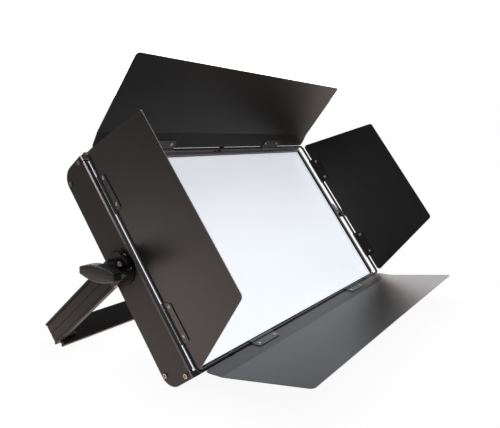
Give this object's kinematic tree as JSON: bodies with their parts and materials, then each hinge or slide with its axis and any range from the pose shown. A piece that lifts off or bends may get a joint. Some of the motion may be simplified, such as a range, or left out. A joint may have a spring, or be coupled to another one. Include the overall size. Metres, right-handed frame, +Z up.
{
  "type": "led panel light",
  "caption": "Flat rectangular LED soft light with an opal front, four folding barn doors on a wire frame, and a tilting U-shaped yoke with clamp handles.",
  "frame": {"origin": "bottom centre of the bounding box in the pose of the picture, on the floor; the tilt axis is 61.2 mm behind it", "axes": "+Z up, -Y the side the lit face looks to, +X along the tilt axis, to the right of someone facing the lit face"},
  "size_m": [0.69, 0.435, 0.4142],
  "materials": {
    "black_rail": "fine-textured matt black powder coat",
    "back_sheet": "matt black coated sheet",
    "end_plate": "matt black coated sheet, slightly warm",
    "nickel_screws": "nickel plated",
    "diffuser_frame": "matt black",
    "opal": "smooth translucent opal",
    "white_reflector": "matt white",
    "white_board": "white solder mask",
    "led_phosphor": "yellow phosphor",
    "bare_aluminium": "mill finish",
    "rear_box": "matt black coated sheet",
    "green_board": "green solder mask",
    "smoked_window": "smoked, glossy",
    "pot_metal": "plated",
    "knob_plastic": "matt black",
    "switch_plastic": "satin black",
    "socket_plastic": "satin black",
    "socket_metal": "dark nickel",
    "zinc_steel": "zinc plated",
    "black_wire": "glossy black coat",
    "leaf_sheet": "matt black coated sheet",
    "clip_sheet": "satin black coated sheet",
    "rivet_metal": "warm nickel tone",
    "yoke_profile": "dark bronze-black anodised",
    "bracket_steel": "black",
    "black_screws": "black oxide",
    "gloss_end": "glossy black",
    "friction_disc": "matt black",
    "handle_plastic": "fine matt black"
  },
  "bodies": {
    "yoke": {"yoke_arm_left": "yoke_profile", "yoke_arm_right": "yoke_profile", "yoke_crossbar": "yoke_profile", "yoke_brackets": "bracket_steel", "yoke_bracket_screws": "black_screws", "yoke_end_left": "gloss_end", "yoke_end_right": "gloss_end", "yoke_end_screws": "nickel_screws", "friction_disc_left": "friction_disc", "friction_disc_right": "friction_disc"},
    "housing": {"top_rail": "black_rail", "bottom_rail": "black_rail", "back_panel": "back_sheet", "end_plate_left": "end_plate", "end_plate_right": "end_plate", "end_plate_screws": "nickel_screws", "diffuser_frame": "diffuser_frame", "diffuser": "opal", "reflector_frame": "white_reflector", "led_board": "white_board", "led_emitters": "led_phosphor", "heat_spreader": "bare_aluminium", "rear_box": "rear_box", "rear_box_screws": "nickel_screws", "power_supply": "bare_aluminium", "control_board": "green_board", "display_window": "smoked_window", "dimmer_pots": "pot_metal", "switch_frame": "switch_plastic", "power_inlet": "socket_plastic", "dmx_in": "socket_metal", "dmx_out": "socket_metal", "safety_eye": "zinc_steel", "pivot_nuts": "zinc_steel", "door_frame": "black_wire", "door_frame_holders": "black_wire", "door_frame_screws": "nickel_screws"},
    "brightness_dial": {"brightness_shaft": "pot_metal", "brightness_knob": "knob_plastic"},
    "colour_dial": {"colour_shaft": "pot_metal", "colour_knob": "knob_plastic"},
    "rocker": {"power_rocker": "switch_plastic"},
    "top_door": {"top_leaf": "leaf_sheet", "top_leaf_clips": "clip_sheet", "top_leaf_rivets": "rivet_metal"},
    "bottom_door": {"bottom_leaf": "leaf_sheet", "bottom_leaf_clips": "clip_sheet", "bottom_leaf_rivets": "rivet_metal"},
    "left_door": {"left_leaf": "leaf_sheet", "left_leaf_clips": "clip_sheet", "left_leaf_rivets": "rivet_metal"},
    "right_door": {"right_leaf": "leaf_sheet", "right_leaf_clips": "clip_sheet", "right_leaf_rivets": "rivet_metal"},
    "left_clamp": {"handle_left": "handle_plastic", "handle_stud_left": "zinc_steel"},
    "right_clamp": {"handle_right": "handle_plastic", "handle_stud_right": "zinc_steel"}
  },
  "joints": [
    {"name": "housing_tilt", "type": "hinge", "parent": "yoke", "child": "housing", "pos_m": [0, 0.0612, 0.1423], "axis": [1, 0, 0], "range_deg": [-88, 81]},
    {"name": "top_door_hinge", "type": "hinge", "parent": "housing", "child": "top_door", "pos_m": [0, 0.12844, 0.28995], "axis": [-1, 0, 0], "range_deg": [-96.9, 75.1]},
    {"name": "bottom_door_hinge", "type": "hinge", "parent": "housing", "child": "bottom_door", "pos_m": [0, -0.06624, 0.02971], "axis": [1, 0, 0], "range_deg": [-108.2, 63.8]},
    {"name": "left_door_hinge", "type": "hinge", "parent": "housing", "child": "left_door", "pos_m": [-0.2975, 0.0311, 0.15983], "axis": [0, -0.599, -0.8007], "range_deg": [-105.3, 74.7]},
    {"name": "right_door_hinge", "type": "hinge", "parent": "housing", "child": "right_door", "pos_m": [0.2975, 0.0311, 0.15983], "axis": [0, 0.599, 0.8007], "range_deg": [-106.1, 73.9]},
    {"name": "left_clamp_turn", "type": "hinge", "parent": "yoke", "child": "left_clamp", "pos_m": [-0.32, 0.0612, 0.1423], "axis": [-1, 0, 0], "range_deg": [0, 360]},
    {"name": "right_clamp_turn", "type": "hinge", "parent": "yoke", "child": "right_clamp", "pos_m": [0.32, 0.0612, 0.1423], "axis": [1, 0, 0], "range_deg": [0, 360]},
    {"name": "brightness_turn", "type": "hinge", "parent": "housing", "child": "brightness_dial", "pos_m": [0.022, 0.11131, 0.11731], "axis": [0, 0.8007, -0.599], "range_deg": [-135, 135]},
    {"name": "colour_turn", "type": "hinge", "parent": "housing", "child": "colour_dial", "pos_m": [0.062, 0.11131, 0.11731], "axis": [0, 0.8007, -0.599], "range_deg": [-135, 135]},
    {"name": "power_rock", "type": "hinge", "parent": "housing", "child": "rocker", "pos_m": [-0.052, 0.08375, 0.08547], "axis": [1, 0, 0], "range_deg": [-14, 0]}
  ]
}
